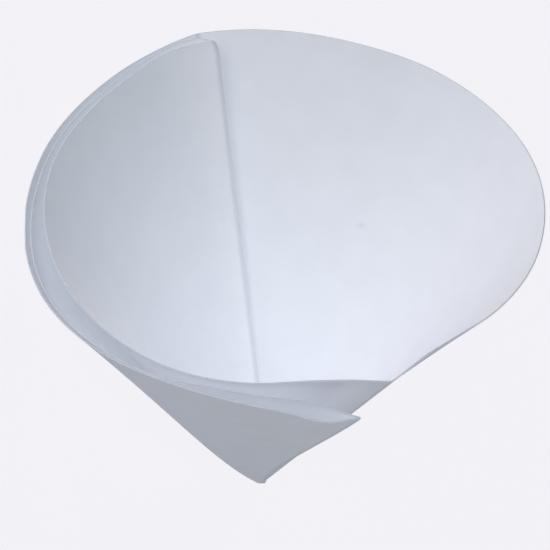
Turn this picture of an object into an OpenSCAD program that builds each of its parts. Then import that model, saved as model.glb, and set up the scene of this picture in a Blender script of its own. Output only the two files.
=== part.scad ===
// Filter paper disc, folded in quarters and opened into a cone.
// One round sheet is folded in half and in half again, and one ply is pulled away from the other
// three. The sheet then makes a pocket with one ply on its right and three on its left. Every fold
// runs through the middle of the disc, which is the tip of the cone. The cone lies on its
// three-ply side, mouth towards -Y, as it comes to rest on a table.

/* [Sheet] */
// Diameter of the flat disc
disc_d = 150; // [70:1:240]
// Thickness of the paper
paper_t = 0.2; // [0.14:0.01:0.26]

/* [Folds] */
// Clear space left inside a tight fold
fold_gap = 0.12; // [0.1:0.01:0.2]
// How far the second fold misses the middle of the half disc, in degrees
fold_miss = 0.8; // [0:0.1:1.5]
// How far the two outer plies swell away from the inner one near the tip
swell = 1.4; // [0:0.1:2]
// Distance from the tip at which the plies run together into one solid point
tip_r = 2; // [2:0.1:4]

/* [Resting] */
// Width at the rim of the flat that the cone settles on
rest_flat_w = 8; // [4:0.5:12]
// Azimuth of that flat round the cone, in degrees from the second fold
rest_az = 75; // [70:1:80]

/* [Hidden] */

paper_color = [0.94, 0.95, 0.96];
sheet_r = disc_d / 2;
pitch = paper_t + fold_gap;          // from the middle of one ply to the middle of the next in a fold
quarter = 90;                        // angle of disc in a ply whose two folds are square

// Each ply's rim as [azimuth round the cone's axis, lean from that axis], both in degrees, from one
// of its folds to the next. The first fold's ends are the mouth corner, at 180, and the hairpin
// point, at 171. The second fold's ends are the outer crease, at 0, and the inner hairpin, at -1.
corner_az = 180;
point_az = 171;
outer_crease_az = 0;
inner_crease_az = -1;
single_rim = [[outer_crease_az, 32], [-10, 30.5], [-22, 29], [-37, 28.2], [-60, 29.7], [-88, 31.2],
    [-120, 30.1], [-148, 28.5], [-160, 27.8], [-170, 28], [-corner_az, 29.4]];
inner_rim = [[corner_az, 29.4], [171, 28.4], [160, 28.2], [148, 29], [132, 30], [100, 30.5], [60, 29.5],
    [27, 27.6], [6, 28.5], [inner_crease_az, 27.8]];
middle_rim = [[inner_crease_az, 27.8], [1, 29.8], [4, 30.2], [14, 29.4], [26, 28.8], [55, 30.3],
    [96, 32.9], [125, 31.7], [138, 30.6], [150, 30.3], [161, 30.6], [point_az, 32.6]];
outer_rim = [[point_az, 32.6], [164, 32.8], [157, 31.9], [147, 31.4], [137, 31.4], [92, 33.3],
    [55, 31.3], [27, 30], [10, 30.7], [outer_crease_az, 32]];

swell_from = 85;                     // the swelling lies between this azimuth and the hairpin point
tuck_full = 1.6;                     // how far the hairpin point's edge is tucked back near the tip
press_full = 0.75;                   // how far the single ply is drawn in halfway down
press_from = -115;                   // from this azimuth to the mouth corner
joint_fade = 60;                     // azimuth over which the plies fall in with their creases
drift_full = 1;                      // how far the inner hairpin lies over the single ply near the tip
drift_start = 5;                     // and the distances from the tip between which it gets there
drift_end = 17;

stations = 40;                       // lines from tip to rim along each ply
crowding = 0.08;                     // how strongly those lines gather at the folds
fine = 180;                          // steps used to measure along a rim
settle_steps = 6;                    // tries at making a ply exactly as long as its part of the disc
settle_gain = 1.7;                   // degrees of rim gained by a bow of one degree
ring_growth = 1.6;                   // each ring is about this much further out than the last
ring_count = ceil(ln(sheet_r / tip_r) / ln(ring_growth)) + 1;
turn_steps = [-45, 0, 45];           // directions of the points round a hairpin's half circle
cup_floor = 0.3;                     // the pocket's deepest point, above the disc's centre
point_drop = 0.4;                    // the cone's outer point, below the disc's centre

// ---- The curve of a rim ----

function chord(rim, i) = (rim[i + 1][1] - rim[i][1]) / (rim[i + 1][0] - rim[i][0]);

function width(rim, i) = rim[i + 1][0] - rim[i][0];

function tangent(rim, i) =
    i == 0 ? chord(rim, 0)
    : i == len(rim) - 1 ? chord(rim, i - 1)
    : (chord(rim, i - 1) * width(rim, i) + chord(rim, i) * width(rim, i - 1))
        / (width(rim, i) + width(rim, i - 1));

// Which stretch of the rim an azimuth falls in
function stretch(rim, az) =
    let (way = sign(width(rim, 0)))
    len([for (i = [1 : len(rim) - 2]) if ((az - rim[i][0]) * way > 0) i]);

// A smooth curve through the rim's points
function curve(rim, az) =
    let (
        i = stretch(rim, az),
        h = width(rim, i),
        t = (az - rim[i][0]) / h
    )
    (1 + 2 * t) * (1 - t) ^ 2 * rim[i][1] + t * (1 - t) ^ 2 * h * tangent(rim, i)
    + t ^ 2 * (3 - 2 * t) * rim[i + 1][1] + t ^ 2 * (t - 1) * h * tangent(rim, i + 1);

function along(rim, az) = (az - rim[0][0]) / (rim[len(rim) - 1][0] - rim[0][0]);

function bowed(rim, bow, az) = curve(rim, az) + bow * sin(180 * along(rim, az));

function direction(az, lean) = [sin(lean) * cos(az), sin(lean) * sin(az), cos(lean)];

// Lean of the plane through the tip that holds the rim's two points at the ends of the flat
function flat_lean(rim, bow, flat, az) =
    let (n = cross(direction(flat[0], bowed(rim, bow, flat[0])),
                   direction(flat[1], bowed(rim, bow, flat[1]))))
    atan(-n[2] / (n[0] * cos(az) + n[1] * sin(az)));

// A ply is [rim, bow, flat]
function lean(ply, az) =
    az > ply[2][0] && az < ply[2][1] ? flat_lean(ply[0], ply[1], ply[2], az)
    : bowed(ply[0], ply[1], az);

// The rim in short steps, as [degrees of disc used so far, azimuth]
function measured(ply) =
    let (
        rim = ply[0],
        line = [for (i = [0 : fine]) let (az = rim[0][0] + (rim[len(rim) - 1][0] - rim[0][0]) * i / fine)
            [az, lean(ply, az)]]
    )
    [for (i = 0, run = 0; i <= fine; i = i + 1, run = run + (i > fine ? 0 : step_of(line[i - 1], line[i])))
        [run, line[i][0]]];

function step_of(a, b) = norm([b[1] - a[1], (b[0] - a[0]) * sin((a[1] + b[1]) / 2)]);

function used(ply) = let (m = measured(ply)) m[fine][0];

// Bows the rim in or out until the ply takes up its own part of the disc, no more and no less
function settled(rim, part, flat, bow = 0, tries = settle_steps) =
    tries == 0 ? [rim, bow, flat]
    : settled(rim, part, flat, bow - (used([rim, bow, flat]) - part) / settle_gain, tries - 1);

no_flat = [0, 0];
flat_half = rest_flat_w / 2 / (sheet_r * sin(33)) * 180 / PI;
rest_flat = [rest_az - flat_half, rest_az + flat_half];

SINGLE = settled(single_rim, quarter - fold_miss, no_flat);
INNER = settled(inner_rim, quarter - fold_miss, no_flat);
MIDDLE = settled(middle_rim, quarter + fold_miss, no_flat);
OUTER = settled(outer_rim, quarter + fold_miss, rest_flat);

// ---- The stack of plies at a distance r from the tip ----
// Distances from the cone's axis are arcs over the sphere of radius r.

function arc(r, degrees) = r * degrees * PI / 180;

// Two plies stand apart as their rims do, but never closer than the inside of a fold lets them
function apart(r, degrees) = norm([arc(r, degrees), pitch]);

// A rise to 1 at a third of the way from tip to rim, and back to nothing at the rim
function belly(r) = let (x = r / sheet_r) 27 / 4 * x * (1 - x) ^ 2;

// How far an azimuth lies along the stretch in which the outer two plies swell and are tucked back
function in_swell(az) = max((az - swell_from) / (point_az - swell_from), 0);

function swelling(r, az) = swell * belly(r) * sin(180 * in_swell(az)) ^ 2;

function inner_ply(r, az) = arc(r, lean(INNER, az));

function middle_ply(r, az) =
    inner_ply(r, az) + apart(r, lean(MIDDLE, az) - lean(INNER, az)) + swelling(r, az);

function outer_ply(r, az) = middle_ply(r, az) + apart(r, lean(OUTER, az) - lean(MIDDLE, az));

// The single ply is drawn in a little below the mouth corner
function press(r, az) =
    az > press_from ? 0
    : let (x = r / sheet_r)
    press_full * 4 * x * (1 - x) * sin(180 * (az - press_from) / (corner_az + press_from)) ^ 2;

// The single ply starts where the outer ply ends, at the outer crease
function single_ply(r, az) =
    let (
        step = outer_ply(r, outer_crease_az) - arc(r, lean(SINGLE, outer_crease_az)),
        fade = az < -joint_fade ? 0 : cos(90 * az / joint_fade) ^ 2
    )
    arc(r, lean(SINGLE, az)) + step * fade - press(r, az);

// Degrees round the axis by which the inner hairpin carries its two plies over the single one
function drift(r, az) =
    let (
        x = min(max((r - drift_start) / (drift_end - drift_start), 0), 1),
        sideways = drift_full * (1 - r / disc_d) * x ^ 2 * (3 - 2 * x),
        fade = az > joint_fade ? 0 : cos(90 * (az - inner_crease_az) / (joint_fade - inner_crease_az)) ^ 2
    )
    sideways / inner_ply(r, inner_crease_az) * 180 / PI * fade;

// Degrees round the axis by which the hairpin point is tucked back, with the two plies that it joins
function tuck(r, az) =
    tuck_full * belly(r) * sin(90 * in_swell(az)) ^ 2 / inner_ply(r, point_az) * 180 / PI;

// Azimuths of a ply's lines from tip to rim
function azimuths(ply) =
    let (m = measured(ply))
    [for (j = [0 : stations]) let (u = j / stations) lookup((u - crowding * sin(360 * u)) * m[fine][0], m)];

function nearest(list, az) =
    let (off = [for (a = list) abs(a - az)])
    search(min(off), off)[0];

single_az = azimuths(SINGLE);
inner_az = azimuths(INNER);
middle_az = azimuths(MIDDLE);

// Two lines of the outer ply are moved onto the edges of the flat
free_az = azimuths(OUTER);
flat_start = nearest(free_az, rest_flat[1]);
flat_stop = max(nearest(free_az, rest_flat[0]), flat_start + 1);
outer_az = [for (j = [0 : stations])
    j == flat_start ? rest_flat[1] : j == flat_stop ? rest_flat[0] : free_az[j]];

function polar(q, az) = q * [cos(az), sin(az)];

// The half circle of a hairpin, from the ply at distance q out to the next
function hairpin(q, az, way) =
    [for (w = turn_steps) polar(q + pitch / 2 * (1 + sin(w)), az)
        + way * pitch / 2 * cos(w) * [-sin(az), cos(az)]];

// The middle of the sheet at distance r, all round: single, inner, hairpin, middle, hairpin, outer
function section(r) = concat(
    [for (j = [0 : stations - 1]) polar(single_ply(r, single_az[j]), single_az[j])],
    [for (az = inner_az) polar(inner_ply(r, az), az - drift(r, az))],
    hairpin(inner_ply(r, inner_crease_az), inner_crease_az - drift(r, inner_crease_az), -1),
    [for (az = middle_az) polar(middle_ply(r, az), az - drift(r, az) - tuck(r, az))],
    hairpin(middle_ply(r, point_az), point_az - tuck(r, point_az), 1),
    [for (j = [0 : stations - 1]) let (az = outer_az[j]) polar(outer_ply(r, az), az - tuck(r, az))]);

function unit(v) = v / norm(v);

function right_of(v) = [v[1], -v[0]];

// One face of the paper: the section moved sideways, with mitred folds
function shifted(line, d) =
    let (m = len(line))
    [for (j = [0 : m - 1])
        let (
            before = right_of(unit(line[j] - line[(j + m - 1) % m])),
            after = right_of(unit(line[(j + 1) % m] - line[j])),
            mitre = unit(before + after)
        )
        line[j] + mitre * d / max(mitre * before, 0.5)];

// From arcs round the axis to a place on the sphere of radius r
function lifted(r, p) = let (lean = norm(p) / r * 180 / PI) r * concat(unit(p) * sin(lean), cos(lean));

function ring_r(k) = tip_r * (sheet_r / tip_r) ^ (k / (ring_count - 1));

// ---- The sheet's points, with the cone's axis along Z ----

cone_points = concat(
    [for (k = [0 : ring_count - 1])
        let (r = ring_r(k), line = section(r))
        for (side = [1, -1], p = shifted(line, side * paper_t / 2)) lifted(r, p)],
    [[0, 0, cup_floor], concat(polar(pitch, rest_az), -point_drop)]);

lines = 4 * stations + 8;            // lines from tip to rim on one face, all round
corner = stations;                   // the mouth corner's line
inner_fold = 2 * stations;           // the last line of the inner ply
middle_start = inner_fold + 4;
middle_end = middle_start + stations;
outer_start = middle_end + 4;

inside = function (k, j) 2 * lines * k + j % lines;
outside = function (k, j) inside(k, j) + lines;
cup_centre = 2 * lines * ring_count;
point_centre = cup_centre + 1;

// ---- Faces, clockwise from outside ----

last_ring = ring_count - 1;
walls = [for (k = [0 : last_ring - 1], j = [0 : lines - 1]) each [
    [inside(k, j), inside(k + 1, j), inside(k + 1, j + 1)],
    [inside(k, j), inside(k + 1, j + 1), inside(k, j + 1)],
    [outside(k, j), outside(k + 1, j + 1), outside(k + 1, j)],
    [outside(k, j), outside(k, j + 1), outside(k + 1, j + 1)]]];

rim_edge = [for (j = [0 : lines - 1]) each [
    [inside(last_ring, j), outside(last_ring, j), outside(last_ring, j + 1)],
    [inside(last_ring, j), outside(last_ring, j + 1), inside(last_ring, j + 1)]]];

// Closes the slot between two plies at the tip: they meet at a hairpin and run away from it in step
function slot(side, first, second) = [for (i = [0 : stations - 1]) each [
    [side(0, first - i), side(0, second + i), side(0, second + i + 1)],
    [side(0, first - i), side(0, second + i + 1), side(0, first - i - 1)]]];

function hairpin_end(side, first) =
    [for (i = [1 : 3]) [side(0, first), side(0, first + i), side(0, first + i + 1)]];

function fan(loop, centre) =
    [for (i = [0 : len(loop) - 1]) [loop[i], loop[(i + 1) % len(loop)], centre]];

cup_loop = [for (j = [0 : middle_start]) inside(0, j)];
point_loop = concat(
    [for (j = [0 : corner]) outside(0, j)],
    [for (j = [middle_end : lines - 1]) outside(0, j)]);

function flipped(faces) = [for (f = faces) [f[0], f[2], f[1]]];

sheet_faces = concat(walls, rim_edge,
    slot(outside, inner_fold, middle_start), hairpin_end(outside, inner_fold),
    slot(inside, middle_end, outer_start), hairpin_end(inside, middle_end),
    fan(cup_loop, cup_centre), flipped(fan(point_loop, point_centre)));

// ---- Laying the cone down on its flat ----

rim_first = cone_points[outside(last_ring, outer_start + flat_start)];
rim_last = cone_points[outside(last_ring, outer_start + flat_stop)];
tip_first = cone_points[outside(0, outer_start + flat_start)];

up = unit(cross(rim_last - tip_first, rim_first - tip_first));
back = unit(up * up[2] - [0, 0, 1]);  // away from the mouth, level with the table
right = cross(back, up);
turned = [for (p = cone_points) [p * right, p * back, p * up]];

function low(i) = min([for (p = turned) p[i]]);
function high(i) = max([for (p = turned) p[i]]);
foot = [(low(0) + high(0)) / 2, (low(1) + high(1)) / 2, low(2)];

module filter_paper() {
    color(paper_color)
        polyhedron(points = [for (p = turned) p - foot], faces = sheet_faces, convexity = 8);
}

filter_paper();
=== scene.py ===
"""A filter paper disc, folded in quarters and opened into a cone that lies on its threefold side."""
import math
import bpy
import numpy as np
from mathutils import Matrix, Vector


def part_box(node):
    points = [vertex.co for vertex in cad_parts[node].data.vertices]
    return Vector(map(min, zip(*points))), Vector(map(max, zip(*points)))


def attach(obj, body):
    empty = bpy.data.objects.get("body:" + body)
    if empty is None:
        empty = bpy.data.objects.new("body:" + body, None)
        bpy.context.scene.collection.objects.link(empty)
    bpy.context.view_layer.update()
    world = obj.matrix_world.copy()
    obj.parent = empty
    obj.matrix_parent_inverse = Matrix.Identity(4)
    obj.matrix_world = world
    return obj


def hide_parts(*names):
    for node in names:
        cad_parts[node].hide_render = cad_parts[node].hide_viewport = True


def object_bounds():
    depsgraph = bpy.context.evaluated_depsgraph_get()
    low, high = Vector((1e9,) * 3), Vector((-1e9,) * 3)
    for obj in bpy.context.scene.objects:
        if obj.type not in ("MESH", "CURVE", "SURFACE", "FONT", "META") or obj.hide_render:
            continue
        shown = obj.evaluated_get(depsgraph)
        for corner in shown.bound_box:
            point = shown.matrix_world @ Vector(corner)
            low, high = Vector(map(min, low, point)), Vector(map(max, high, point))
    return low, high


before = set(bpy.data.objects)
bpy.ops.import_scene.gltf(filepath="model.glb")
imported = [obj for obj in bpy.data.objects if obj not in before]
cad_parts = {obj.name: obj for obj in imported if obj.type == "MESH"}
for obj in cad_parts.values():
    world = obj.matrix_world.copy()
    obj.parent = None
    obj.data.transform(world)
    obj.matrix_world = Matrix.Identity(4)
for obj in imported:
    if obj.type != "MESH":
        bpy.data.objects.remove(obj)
cad_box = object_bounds()

MM = 0.001

# ---- The disc and its folds, in millimetres and degrees ----

DISC_R = 75
PAPER_T = 0.2
FOLD_GAP = 0.12             # between the two plies of a tight fold
PITCH = PAPER_T + FOLD_GAP  # from the middle of one of them to the middle of the other
FOLD_MISS = 0.8             # the second fold misses the middle of the half disc by this much
TIP_R = 2                   # the plies run together into one solid point this near the tip
CUP_FLOOR = 0.3             # the pocket's deepest point, above the disc's centre
POINT_DROP = 0.4            # the cone's outer point, below the disc's centre

REST_AZ = 75                # the cone rests on the outer ply, on a flat at this azimuth
REST_FLAT_W = 8             # the flat's width at the rim
LEAN_THERE = 33             # the outer ply's lean there
FLAT_HALF = math.degrees(REST_FLAT_W / 2 / (DISC_R * math.sin(math.radians(LEAN_THERE))))
FLAT = (REST_AZ - FLAT_HALF, REST_AZ + FLAT_HALF)

SWELL = 1.4                 # how far the two outer plies swell away from the inner one
SWELL_FROM = 85             # between this azimuth and the hairpin point
TUCK = 1.6                  # how far the hairpin point's edge is tucked back near the tip
PRESS = 0.75                # how far the single ply is drawn in halfway down
PRESS_FROM = -115           # from this azimuth to the mouth corner
JOINT_FADE = 60             # azimuth over which the plies fall in with their creases
DRIFT = 1                   # how far the inner hairpin lies over the single ply near the tip
DRIFT_START = 5             # the distances from the tip between which it gets there
DRIFT_END = 17
DRIFT_BACK = 73             # and the one from which it goes back to nothing at the rim

# Each ply's rim from fold to fold, as azimuth round the cone's axis and lean from that axis. The
# first fold's ends are the mouth corner and the hairpin point. The second fold's ends are the
# outer crease and the inner hairpin.
CORNER, POINT, OUTER_CREASE, INNER_CREASE = 180, 171, 0, -1
SINGLE_RIM = [(OUTER_CREASE, 32), (-10, 30.5), (-22, 29), (-37, 28.2), (-60, 29.7), (-88, 31.2),
              (-120, 30.1), (-148, 28.5), (-160, 27.8), (-170, 28), (-CORNER, 29.4)]
INNER_RIM = [(CORNER, 29.4), (171, 28.4), (160, 28.2), (148, 29), (132, 30), (100, 30.5),
             (60, 29.5), (27, 27.6), (6, 28.5), (INNER_CREASE, 27.8)]
MIDDLE_RIM = [(INNER_CREASE, 27.8), (1, 29.8), (4, 30.2), (14, 29.4), (26, 28.8), (55, 30.3),
              (96, 32.9), (125, 31.7), (138, 30.6), (150, 30.3), (161, 30.6), (POINT, 32.6)]
OUTER_RIM = [(POINT, 32.6), (164, 32.8), (157, 31.9), (147, 31.4), (137, 31.4), (92, 33.3),
             (55, 31.3), (27, 30), (10, 30.7), (OUTER_CREASE, 32)]

STATIONS = 112              # lines from tip to rim along each ply
CROWDING = 0.08             # how strongly the lines gather at the folds
TURN = np.radians([-60, -30, 0, 30, 60])   # the points round a hairpin's half circle
RINGS = 52                  # from the solid tip to the rim
EVEN_TO = 72.5              # up to here each ring is further out than the last by the same ratio
RIM_RINGS = [73.3, 74, 74.6, DISC_R]
FINE = 720                  # steps used to measure along a rim
SETTLE_STEPS = 8            # tries at making a ply exactly as long as its part of the disc
SETTLE_GAIN = 1.7           # degrees of rim gained by a bow of one degree


def direction(az, lean):
    az, lean = np.radians(az), np.radians(lean)
    return np.stack([np.sin(lean) * np.cos(az), np.sin(lean) * np.sin(az), np.cos(lean)], -1)


class Ply:
    """A quarter of the disc between two folds, bowed until it is as long as its part of the disc."""

    def __init__(self, rim, part, flat=None):
        self.az, self.rise = np.array(rim, float).T
        self.way = np.sign(self.az[1] - self.az[0])
        self.flat, self.bow = flat, 0
        width, chord = np.diff(self.az), np.diff(self.rise) / np.diff(self.az)
        inner = (chord[:-1] * width[1:] + chord[1:] * width[:-1]) / (width[1:] + width[:-1])
        self.slope = np.concatenate([chord[:1], inner, chord[-1:]])
        for _ in range(SETTLE_STEPS):
            self.bow -= (self.measured()[0][-1] - part) / SETTLE_GAIN

    def bowed(self, az):
        """The rim's lean on a smooth curve through its points, before any of it is pressed flat."""
        i = np.searchsorted(self.az * self.way, az * self.way) - 1
        i = np.clip(i, 0, len(self.az) - 2)
        width = self.az[i + 1] - self.az[i]
        t = (az - self.az[i]) / width
        smooth = ((1 + 2 * t) * (1 - t) ** 2 * self.rise[i] + t * (1 - t) ** 2 * width * self.slope[i]
                  + t ** 2 * (3 - 2 * t) * self.rise[i + 1] + t ** 2 * (t - 1) * width * self.slope[i + 1])
        along = (az - self.az[0]) / (self.az[-1] - self.az[0])
        return smooth + self.bow * np.sin(math.pi * along)

    def lean(self, az):
        """The rim's lean, where a flat lies in the plane through the tip and the flat's two ends."""
        az = np.asarray(az, float)
        free = self.bowed(az)
        if not self.flat:
            return free
        ends = direction(np.array(self.flat), self.bowed(np.array(self.flat)))
        n = np.cross(ends[0], ends[1])
        turn = np.radians(az)
        pressed = np.degrees(np.arctan(-n[2] / (n[0] * np.cos(turn) + n[1] * np.sin(turn))))
        return np.where((az > self.flat[0]) & (az < self.flat[1]), pressed, free)

    def measured(self):
        """The degrees of disc used up to each azimuth along the rim."""
        az = np.linspace(self.az[0], self.az[-1], FINE + 1)
        lean = self.lean(az)
        middle = np.radians((lean[1:] + lean[:-1]) / 2)
        step = np.hypot(np.diff(lean), np.diff(az) * np.sin(middle))
        return np.concatenate([[0], np.cumsum(step)]), az

    def lines(self):
        """Azimuths of the ply's lines from tip to rim, and the degrees of disc used up to each."""
        used, az = self.measured()
        u = np.linspace(0, 1, STATIONS + 1)
        used_there = (u - CROWDING * np.sin(2 * math.pi * u)) * used[-1]
        found = np.interp(used_there, used, az)
        for edge in self.flat or ():
            found[np.abs(found - edge).argmin()] = edge
        order = np.argsort(az)
        return found, np.interp(found, az[order], used[order])


single = Ply(SINGLE_RIM, 90 - FOLD_MISS)
inner = Ply(INNER_RIM, 90 - FOLD_MISS)
middle = Ply(MIDDLE_RIM, 90 + FOLD_MISS)
outer = Ply(OUTER_RIM, 90 + FOLD_MISS, FLAT)


# ---- The stack of plies at a distance r from the tip, as arcs over the sphere of radius r ----

def apart(r, degrees):
    """Two plies stand apart as their rims do, but never closer than a fold lets them."""
    return np.hypot(r * np.radians(degrees), PITCH)


def belly(r):
    """A rise to 1 at a third of the way from tip to rim, and back to nothing at the rim."""
    x = r / DISC_R
    return 27 / 4 * x * (1 - x) ** 2


def in_swell(az):
    """How far an azimuth lies along the stretch in which the outer two plies swell and are tucked."""
    return np.clip((az - SWELL_FROM) / (POINT - SWELL_FROM), 0, 1)


def swelling(r, az):
    return SWELL * belly(r) * np.sin(math.pi * in_swell(az)) ** 2


def inner_ply(r, az):
    return r * np.radians(inner.lean(az))


def middle_ply(r, az):
    return inner_ply(r, az) + apart(r, middle.lean(az) - inner.lean(az)) + swelling(r, az)


def outer_ply(r, az):
    return middle_ply(r, az) + apart(r, outer.lean(az) - middle.lean(az))


def press(r, az):
    """The single ply is drawn in a little below the mouth corner."""
    x = r / DISC_R
    share = np.clip((PRESS_FROM - az) / (CORNER + PRESS_FROM), 0, 1)
    return PRESS * 4 * x * (1 - x) * np.sin(math.pi * share) ** 2


def single_ply(r, az):
    """The single ply starts where the outer ply ends, at the outer crease."""
    step = outer_ply(r, OUTER_CREASE) - r * np.radians(single.lean(OUTER_CREASE))
    fade = np.cos(math.pi / 2 * np.clip(az / JOINT_FADE, -1, 0)) ** 2
    return r * np.radians(single.lean(az)) + step * fade - press(r, az)


def drift(r, az):
    """Degrees round the axis by which the inner hairpin carries its two plies over the single one."""
    x = np.clip((r - DRIFT_START) / (DRIFT_END - DRIFT_START), 0, 1)
    back = np.clip((r - DRIFT_BACK) / (DISC_R - DRIFT_BACK), 0, 1) ** 2
    sideways = DRIFT * (1 - r / (2 * DISC_R)) * x ** 2 * (3 - 2 * x) * (1 - back)
    share = np.clip((az - INNER_CREASE) / (JOINT_FADE - INNER_CREASE), 0, 1)
    return np.degrees(sideways / inner_ply(r, INNER_CREASE)) * np.cos(math.pi / 2 * share) ** 2


def tuck(r, az):
    """Degrees by which the hairpin point is tucked back, with the two plies that it joins."""
    sideways = TUCK * belly(r) * np.sin(math.pi / 2 * in_swell(az)) ** 2
    return np.degrees(sideways / inner_ply(r, POINT))


def polar(q, az):
    """The place at an arc q from the axis and an azimuth, on the unrolled sphere."""
    az = np.radians(az)
    return np.stack([q * np.cos(az), q * np.sin(az)], -1)


def hairpin(q, az, way):
    """The half circle of a hairpin, from the ply at distance q out to the next."""
    across = np.array([-math.sin(math.radians(az)), math.cos(math.radians(az))])
    ring = polar(q + PITCH / 2 * (1 + np.sin(TURN)), az)
    return ring + way * PITCH / 2 * np.cos(TURN)[:, None] * across


def shifted(line, by):
    """One face of the paper: the section moved sideways, with mitred folds."""
    step = np.roll(line, -1, 0) - line
    side = np.stack([step[:, 1], -step[:, 0]], -1) / np.linalg.norm(step, axis=1)[:, None]
    before = np.roll(side, 1, 0)
    mitre = before + side
    mitre /= np.linalg.norm(mitre, axis=1)[:, None]
    return line + mitre * by / np.maximum((mitre * before).sum(1), 0.5)[:, None]


def lifted(r, spot):
    """From arcs round the axis to a place on the sphere of radius r."""
    q = np.linalg.norm(spot, axis=1)
    lean = q / r
    return r * np.column_stack([spot / q[:, None] * np.sin(lean)[:, None], np.cos(lean)])


# ---- The paper's points, its faces, and its layout on the flat disc ----

single_az, single_used = single.lines()
inner_az, inner_used = inner.lines()
middle_az, middle_used = middle.lines()
outer_az, outer_used = outer.lines()
CREASES = np.cumsum([0, 90 - FOLD_MISS, 90 - FOLD_MISS, 90 + FOLD_MISS])   # round the flat disc

N, H = STATIONS, len(TURN)
used = np.concatenate([
    single_used[:-1], CREASES[1] + inner_used, np.full(H, CREASES[2]),
    CREASES[2] + middle_used, np.full(H, CREASES[3]), CREASES[3] + outer_used[:-1]])
LINES = len(used)
even_steps = np.linspace(0, 1, RINGS - len(RIM_RINGS))
ring_r = np.append(TIP_R * (EVEN_TO / TIP_R) ** even_steps, RIM_RINGS)

points, layout = [], []
for r in ring_r:
    section = np.concatenate([
        polar(single_ply(r, single_az[:-1]), single_az[:-1]),
        polar(inner_ply(r, inner_az), inner_az - drift(r, inner_az)),
        hairpin(inner_ply(r, INNER_CREASE), INNER_CREASE - drift(r, INNER_CREASE), -1),
        polar(middle_ply(r, middle_az), middle_az - drift(r, middle_az) - tuck(r, middle_az)),
        hairpin(middle_ply(r, POINT), POINT - tuck(r, POINT), 1),
        polar(outer_ply(r, outer_az[:-1]), outer_az[:-1] - tuck(r, outer_az[:-1]))])
    for side in (1, -1):
        points.append(lifted(r, shifted(section, side * PAPER_T / 2)))
        layout.append(polar(r, used))
points = np.concatenate(points + [[[0, 0, CUP_FLOOR], [*polar(PITCH, REST_AZ), -POINT_DROP]]])
layout = np.concatenate(layout + [[[0, 0], [0, 0]]])


def inside(ring, line):
    """The number of the point on a ring and a line, on the face of the paper that lines the pocket."""
    return 2 * LINES * ring + line % LINES


def outside(ring, line):
    """The number of the point behind that one, on the paper's other face."""
    return inside(ring, line) + LINES


RIM = RINGS - 1
INNER_FOLD, MIDDLE_START = 2 * N, 2 * N + H + 1
MIDDLE_END, OUTER_START = MIDDLE_START + N, MIDDLE_START + N + H + 1
CUP_CENTRE, POINT_CENTRE = 2 * LINES * RINGS, 2 * LINES * RINGS + 1

faces = []
for k in range(RIM):
    for j in range(LINES):
        faces.append((inside(k, j), inside(k, j + 1), inside(k + 1, j + 1), inside(k + 1, j)))
        faces.append((outside(k, j), outside(k + 1, j), outside(k + 1, j + 1), outside(k, j + 1)))
for j in range(LINES):
    faces.append((inside(RIM, j), inside(RIM, j + 1), outside(RIM, j + 1), outside(RIM, j)))

# At the tip the slots between the plies are closed, and the cup and the point each get a cap
for side, first, second in ((outside, INNER_FOLD, MIDDLE_START), (inside, MIDDLE_END, OUTER_START)):
    for i in range(N):
        one, other = first - i, second + i
        faces.append((side(0, one), side(0, one - 1), side(0, other + 1), side(0, other)))
    for i in range(1, H + 1):
        faces.append((side(0, first), side(0, first + i + 1), side(0, first + i)))
cup = [inside(0, j) for j in range(MIDDLE_START + 1)]
cap = [outside(0, j) for j in [*range(N + 1), *range(MIDDLE_END, LINES)]]
faces += [(cup[i], CUP_CENTRE, cup[(i + 1) % len(cup)]) for i in range(len(cup))]
faces += [(cap[i], cap[(i + 1) % len(cap)], POINT_CENTRE) for i in range(len(cap))]

# ---- Laying the cone down on its flat ----

flat_lines = [int(np.abs(outer_az - edge).argmin()) for edge in (FLAT[1], FLAT[0])]
rim_first, rim_last = (points[outside(RIM, OUTER_START + i)] for i in flat_lines)
tip_first = points[outside(0, OUTER_START + flat_lines[0])]
up = np.cross(rim_last - tip_first, rim_first - tip_first)
up /= np.linalg.norm(up)
back = up * up[2] - [0, 0, 1]
back /= np.linalg.norm(back)
turned = points @ np.array([np.cross(back, up), back, up]).T
cad_low, cad_high = (np.array(corner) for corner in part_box("filter_paper"))
low, high = turned.min(0) * MM, turned.max(0) * MM
foot = np.append(((low + high) / 2 - (cad_low + cad_high) / 2)[:2], low[2] - cad_low[2])
placed = turned * MM - foot

mesh = bpy.data.meshes.new("folded_sheet")
mesh.from_pydata(placed.tolist(), [], faces)
sheet = bpy.data.objects.new("folded_sheet", mesh)
bpy.context.scene.collection.objects.link(sheet)
flat_map = mesh.uv_layers.new(name="flat_disc")
corners = np.empty(len(mesh.loops), int)
mesh.loops.foreach_get("vertex_index", corners)
flat_map.data.foreach_set("uv", ((layout[corners] + DISC_R) * MM).ravel())

bpy.ops.object.select_all(action="DESELECT")
sheet.select_set(True)
bpy.context.view_layer.objects.active = sheet
bpy.ops.object.shade_smooth_by_angle(angle=math.radians(40))


# ---- Materials ----

def colour(code):
    """An sRGB hex colour as the linear colour that a shader takes."""
    parts = [int(code[i:i + 2], 16) / 255 for i in (1, 3, 5)]
    return [c / 12.92 if c <= 0.04045 else ((c + 0.055) / 1.055) ** 2.4 for c in parts] + [1]


def add_node(tree, kind, inputs=None, **settings):
    """Adds a node with its settings. An input takes a value, a socket or a node's first live output."""
    node = tree.nodes.new("ShaderNode" + kind)
    for name, value in settings.items():
        setattr(node, name, value)
    for name, value in (inputs or {}).items():
        if isinstance(value, bpy.types.Node):
            value = next(socket for socket in value.outputs if socket.enabled)
        if isinstance(value, bpy.types.NodeSocket):
            tree.links.new(value, node.inputs[name])
        else:
            node.inputs[name].default_value = value
    return node


def new_material(name):
    material = bpy.data.materials.new(name)
    material.use_nodes = True
    material.node_tree.nodes.clear()
    return material, material.node_tree


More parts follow.
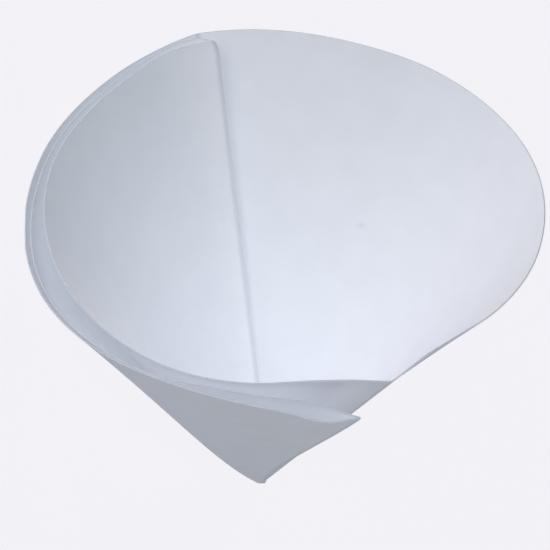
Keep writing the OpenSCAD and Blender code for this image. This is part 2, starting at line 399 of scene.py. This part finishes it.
# Cotton linter filter paper: pure cellulose fibres laid down wet and pressed only lightly, so it is
# dead white and matt and a little cloudy where the fibres lie thicker. Its folds and cut edge carry
# painted shade. Everything is laid out on the flat disc, so it follows the paper over the folds.
paper, tree = new_material("cotton_linter_paper")
flat = add_node(tree, "UVMap", uv_map="flat_disc")
spot = add_node(tree, "VectorMath", {0: flat, 1: (DISC_R * MM, DISC_R * MM, 0)}, operation="SUBTRACT")

# The sheet's formation: clouds a few millimetres across
cloud = add_node(tree, "TexNoise", {"Vector": flat, "Scale": 1 / (5 * MM), "Detail": 3})
cloud = add_node(tree, "MapRange", {"Value": cloud, "From Min": 0.3, "From Max": 0.7},
                 interpolation_type="SMOOTHSTEP")
white = add_node(tree, "Mix", {"Factor": cloud, "A": colour("#E9EDF2"), "B": colour("#EBEFF4")},
                 data_type="RGBA")

# The first fold is a diameter, and the second one crosses it, a little off square. The paper is
# painted greyer for about half a millimetre on either side of each fold: painted shade along the creases.
angle = math.radians(90 - FOLD_MISS)
along = (math.cos(angle), math.sin(angle), 0)
across = (math.sin(angle), -math.cos(angle), 0)
run = add_node(tree, "VectorMath", {0: spot, 1: along}, operation="DOT_PRODUCT")
off = add_node(tree, "VectorMath", {0: spot, 1: across}, operation="DOT_PRODUCT")
off = add_node(tree, "Math", {0: off}, operation="ABSOLUTE")
slant = add_node(tree, "Math", {0: off, 1: math.tan(math.radians(FOLD_MISS))}, operation="MULTIPLY")
second = add_node(tree, "Math", {0: run, 1: slant}, operation="SUBTRACT")
second = add_node(tree, "Math", {0: second}, operation="ABSOLUTE")
fold = add_node(tree, "Math", {0: off, 1: second}, operation="MINIMUM")
# Painted shade along the creases
crease_shade = add_node(tree, "MapRange", {"Value": fold, "From Min": 0.1 * MM, "From Max": 0.7 * MM,
                                     "To Min": 0.5, "To Max": 0}, interpolation_type="SMOOTHSTEP")
white = add_node(tree, "Mix", {"Factor": crease_shade, "A": white, "B": colour("#C8CDD6")}, data_type="RGBA")

# The cut edge is painted a little greyer than the faces: painted shade for its loose fibres shading each
# other
out = add_node(tree, "VectorMath", {0: spot}, operation="LENGTH")
edge_shade = add_node(tree, "MapRange", {"Value": out, "From Min": (DISC_R - 0.06) * MM,
                                  "From Max": (DISC_R - 0.01) * MM}, interpolation_type="SMOOTHSTEP")
white = add_node(tree, "Mix", {"Factor": edge_shade, "A": white, "B": colour("#CED6DE")}, data_type="RGBA")

# One darker scrap of fibre, of the kind that any sheet of pulp has
fleck = add_node(tree, "VectorMath", {0: spot, 1: (41.5 * MM, 21.5 * MM, 0)}, operation="SUBTRACT")
fleck = add_node(tree, "VectorMath", {0: fleck, 1: (1, 0.6, 1)}, operation="MULTIPLY")
fleck = add_node(tree, "VectorMath", {0: fleck}, operation="LENGTH")
fleck = add_node(tree, "MapRange", {"Value": fleck, "From Min": 0.1 * MM, "From Max": 0.8 * MM,
                                    "To Min": 0.16, "To Max": 0}, interpolation_type="SMOOTHSTEP")
white = add_node(tree, "Mix", {"Factor": fleck, "A": white, "B": colour("#A9B3B0")}, data_type="RGBA")

# The sheet dried a little unevenly, in cockles 16 mm across and less than a tenth of a millimetre
# high. Its fibres are some 0.02 mm across, too fine to show, so they are drawn as wisps of about
# a millimetre.
cockle = add_node(tree, "TexNoise", {"Vector": flat, "Scale": 1 / (16 * MM), "Detail": 1})
cockle = add_node(tree, "Bump", {"Height": cockle, "Strength": 1, "Distance": 0.06 * MM})
wisps = add_node(tree, "TexNoise", {"Vector": flat, "Scale": 1 / (0.9 * MM), "Detail": 4, "Roughness": 0.6,
                                    "Distortion": 2.5})
fuzz = add_node(tree, "Bump", {"Height": wisps, "Strength": 1, "Distance": 0.012 * MM, "Normal": cockle})
shade = add_node(tree, "BsdfPrincipled", {"Base Color": white, "Normal": fuzz, "Roughness": 0.9,
                                          "IOR": 1.47, "Specular IOR Level": 0.3})

# Part of each lamp's light comes through the paper, and lights the slots between the plies
path = add_node(tree, "LightPath")
through = add_node(tree, "BsdfTransparent", {"Color": colour("#E9E9EA")})
lit = add_node(tree, "MixShader", {0: path.outputs["Is Shadow Ray"], 1: shade, 2: through})
add_node(tree, "OutputMaterial", {"Surface": lit})
mesh.materials.append(paper)

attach(sheet, "root")
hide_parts("filter_paper")

# ---- Floor, lights and camera ----

FLOOR_SIZE = 6
BACKDROP = "#F8F7FC"
LAMP_SIZE = 0.5
LAMP_DISTANCE = 1


def looked_at(tree):
    """1 for what the camera sees, directly or by a gloss or a glass, and 0 for light on the paper."""
    path = add_node(tree, "LightPath")
    seen = add_node(tree, "Math", {0: path.outputs["Is Camera Ray"], 1: path.outputs["Is Glossy Ray"]},
                    operation="MAXIMUM")
    return add_node(tree, "Math", {0: seen, 1: path.outputs["Is Transmission Ray"]}, operation="MAXIMUM")


bpy.ops.mesh.primitive_plane_add(size=FLOOR_SIZE)
floor = bpy.context.object
floor.name = "floor"
tabletop, tree = new_material("white_table")
plain = add_node(tree, "BsdfDiffuse", {"Color": colour("#E6E6EA")})
glow = add_node(tree, "Emission", {"Color": colour(BACKDROP), "Strength": 1})
pale = add_node(tree, "MixShader", {0: 0.08, 1: glow, 2: plain})
both = add_node(tree, "MixShader", {0: looked_at(tree), 1: plain, 2: pale})
add_node(tree, "OutputMaterial", {"Surface": both})
floor.data.materials.append(tabletop)

world = bpy.data.worlds.new("studio")
bpy.context.scene.world = world
world.use_nodes = True
tree = world.node_tree
tree.nodes.clear()
fill = add_node(tree, "Background", {"Color": colour("#BCD6FF"), "Strength": 0.054})
backdrop = add_node(tree, "Background", {"Color": colour(BACKDROP), "Strength": 1})
both = add_node(tree, "MixShader", {0: looked_at(tree), 1: fill, 2: backdrop})
add_node(tree, "OutputWorld", {"Surface": both})


def from_middle(azimuth, elevation):
    """The direction seen at an azimuth from the front, towards the right, and an elevation."""
    a, e = math.radians(azimuth), math.radians(elevation)
    return Vector((math.sin(a) * math.cos(e), -math.cos(a) * math.cos(e), math.sin(e)))


def soft_light(name, azimuth, elevation, power, tint="#FFFFFF"):
    """A round softbox that faces the cone's middle."""
    lamp = bpy.data.lights.new(name, "AREA")
    lamp.shape, lamp.size, lamp.energy, lamp.color = "DISK", LAMP_SIZE, power, colour(tint)[:3]
    box = bpy.data.objects.new(name, lamp)
    aim = from_middle(azimuth, elevation)
    box.location = (Vector(cad_box[0]) + Vector(cad_box[1])) / 2 + aim * LAMP_DISTANCE
    box.rotation_mode = "QUATERNION"
    box.rotation_quaternion = aim.to_track_quat("Z", "Y")
    bpy.context.scene.collection.objects.link(box)


soft_light("front_left", -30, 10, 3.35, "#FFF0F2")
soft_light("front_right", 30, 10, 4.4)
soft_light("side_left", -120, 10, 2.8, "#FFFBF5")
soft_light("side_right", 120, 10, 2.1)
soft_light("high_left", -60, 62, 1.5, "#EFFDFF")
soft_light("window_behind", 190, 35, 1.3, "#F0F1FF")

CAMERA_AZIMUTH, CAMERA_ELEVATION, CAMERA_ROLL = 45.763, 20.637, 71.014
CAMERA_DISTANCE = 721.9
AIM = Vector((-26.16, 18.44, 12.33))
LENS = 294.5
SENSOR = 36
NEAREST, FURTHEST = 0.01, 20
toward = from_middle(CAMERA_AZIMUTH, CAMERA_ELEVATION)
lens = bpy.data.cameras.new("camera")
lens.lens, lens.sensor_width = LENS, SENSOR
lens.clip_start, lens.clip_end = NEAREST, FURTHEST
camera = bpy.data.objects.new("camera", lens)
camera.rotation_mode = "QUATERNION"
camera.rotation_quaternion = toward.to_track_quat("Z", "Y") @ Matrix.Rotation(
    math.radians(CAMERA_ROLL), 3, "Z").to_quaternion()
camera.location = (AIM + toward * CAMERA_DISTANCE) * MM
bpy.context.scene.collection.objects.link(camera)
bpy.context.scene.camera = camera

bpy.context.scene.view_settings.view_transform = "Standard"
